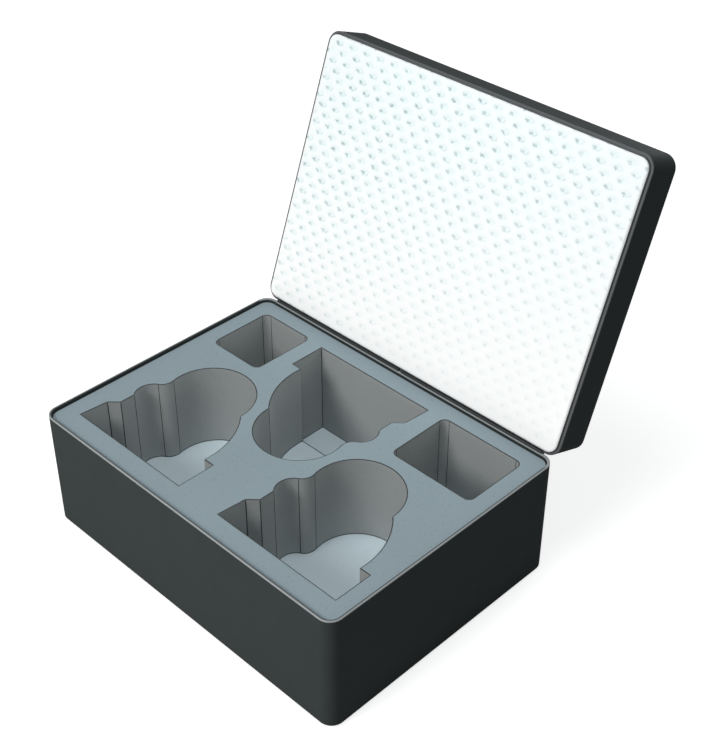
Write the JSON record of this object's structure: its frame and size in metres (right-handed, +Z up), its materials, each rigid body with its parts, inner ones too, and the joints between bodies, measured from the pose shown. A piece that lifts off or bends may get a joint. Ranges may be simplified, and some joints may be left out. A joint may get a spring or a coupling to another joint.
{
  "type": "binocular hard case",
  "caption": "Rectangular hard case with a padded lid on two long stop hinges and foam cut for binoculars and accessories.",
  "frame": {"origin": "middle of the base's footprint, on the plane of the feet's soles", "axes": "+Z up, +X along the hinge side to the right as seen from the front, -Y towards the front, the hinges at +Y"},
  "size_m": [0.46, 0.4999, 0.4725],
  "materials": {
    "shell": "satin",
    "trim": "satin",
    "foam": "matte",
    "pad": "matte",
    "foot": "matte",
    "magnet": "polished",
    "hinge": "satin"
  },
  "bodies": {
    "base": {"base_shell": "shell", "base_rim_trim": "trim", "foam_bottom_sheet": "foam", "foam_step_sheet": "foam", "foam_block": "foam", "foot_front_left": "foot", "foot_front_right": "foot", "foot_rear_left": "foot", "foot_rear_right": "foot", "base_catch_magnets": "magnet", "hinge_base_leaf_left": "hinge", "hinge_base_leaf_right": "hinge", "hinge_pin_left": "hinge", "hinge_pin_right": "hinge", "base_hinge_rivets": "hinge"},
    "lid": {"lid_shell": "shell", "lid_rim_trim": "trim", "lid_foam_filler": "foam", "lid_foam_pad": "pad", "lid_catch_magnets": "magnet", "hinge_lid_leaf_left": "hinge", "hinge_lid_leaf_right": "hinge", "lid_hinge_rivets": "hinge"}
  },
  "joints": [
    {"name": "lid_hinge", "type": "hinge", "parent": "base", "child": "lid", "pos_m": [0, 0.1705, 0.15265], "axis": [1, 0, 0], "range_deg": [0, 110]}
  ]
}
